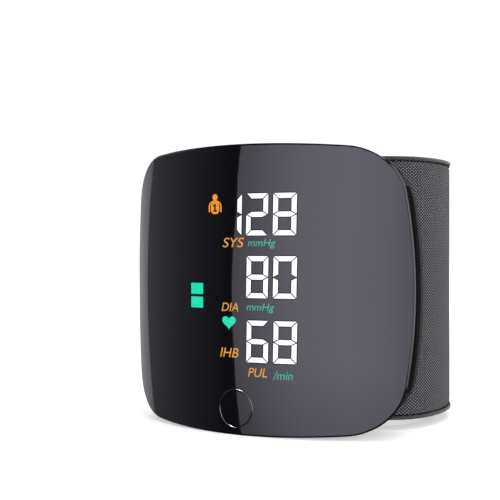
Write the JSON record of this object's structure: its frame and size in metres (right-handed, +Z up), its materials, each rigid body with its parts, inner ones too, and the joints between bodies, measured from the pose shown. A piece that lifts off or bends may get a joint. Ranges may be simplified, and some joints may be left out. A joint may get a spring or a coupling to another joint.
{
  "type": "wrist blood pressure monitor",
  "caption": "Wrist blood pressure monitor: curved glossy LED display case with a start button on a rigid-formed fabric cuff that swings open.",
  "frame": {"origin": "middle of the footprint box, at the lowest level of the case", "axes": "+Z up along the wrist, so the display reads upright; -Y out of the display, +Y towards the back of the cuff; +X to the right of someone reading it"},
  "size_m": [0.0856, 0.0856, 0.075],
  "materials": {
    "cover_gloss": "glossy smoke-tinted cover, nearly black",
    "lit_white": "lit display window, white",
    "lit_orange": "lit display window, orange",
    "lit_green": "lit display window, green",
    "housing_black": "fine moulded grain, black",
    "housing_grey": "satin moulded dark grey",
    "trim_chrome": "bright plated trim",
    "switch_black": "moulded black",
    "reflector_white": "moulded white",
    "board_green": "circuit board with solder mask",
    "led_body": "moulded LED body",
    "foam_pad": "closed-cell adhesive foam",
    "battery_foil": "laminated pouch foil",
    "steel": "plated steel",
    "chip_black": "moulded package",
    "sensor_white": "moulded engineering plastic",
    "brass": "turned",
    "silicone": "translucent moulded silicone",
    "screw_steel": "black-zinc plated screw",
    "woven_fabric": "dark grey basket-weave shell cloth",
    "stiffener_plastic": "formed polypropylene sheet",
    "bladder_film": "welded TPU film",
    "lining_fabric": "brushed loop lining",
    "binding_tape": "folded edge tape, stitched",
    "hook_tape": "hook tape",
    "loop_tape": "loop tape"
  },
  "bodies": {
    "case": {"front_cover": "cover_gloss", "digit_segments": "lit_white", "front_frame": "housing_black", "rear_shell": "housing_grey", "button_ring": "trim_chrome", "switch_body": "switch_black", "display_reflector": "reflector_white", "display_board": "board_green", "display_leds": "led_body", "main_board": "board_green", "battery_pad": "foam_pad", "battery": "battery_foil", "usb_socket_shell": "steel", "usb_socket_tongue": "switch_black", "control_chip": "chip_black", "pressure_sensor": "sensor_white", "buzzer": "switch_black", "motor_can": "steel", "motor_end_cap": "reflector_white", "pump_head": "sensor_white", "air_manifold": "silicone", "valve_body": "sensor_white", "air_inlet": "silicone", "case_screws": "screw_steel", "cuff_screws": "screw_steel", "cuff_outer_fabric": "woven_fabric", "cuff_stiffener": "stiffener_plastic", "cuff_bladder": "bladder_film", "cuff_lining": "lining_fabric", "cuff_edge_binding": "binding_tape", "loop_patch": "loop_tape"},
    "start_button": {"start_button": "cover_gloss", "switch_plunger": "switch_black"},
    "pump_rotor": {"motor_rotor": "steel", "pump_eccentric": "brass"},
    "valve_plunger": {"valve_plunger": "steel"},
    "cuff_arm": {"arm_outer_fabric": "woven_fabric", "arm_stiffener": "stiffener_plastic", "arm_bladder": "bladder_film", "arm_lining": "lining_fabric", "arm_edge_binding": "binding_tape", "closure_flap": "woven_fabric", "hook_patch": "hook_tape"}
  },
  "joints": [
    {"name": "start_button_press", "type": "slide", "parent": "case", "child": "start_button", "axis": [0, 1, 0], "range_m": [0, 0.0005], "stiffness_N_per_m": 600},
    {"name": "pump_rotor_spin", "type": "hinge", "parent": "case", "child": "pump_rotor", "pos_m": [0.027, -0.02658, 0.0455], "axis": [0, 0, 1], "continuous": true},
    {"name": "valve_plunger_stroke", "type": "slide", "parent": "case", "child": "valve_plunger", "axis": [0, 0, -1], "range_m": [0, 0.0005], "stiffness_N_per_m": 150},
    {"name": "cuff_swing", "type": "hinge", "parent": "case", "child": "cuff_arm", "pos_m": [-0.0382, 0.00205, 0.0375], "axis": [0, 0, 1], "range_deg": [0, 70]}
  ]
}
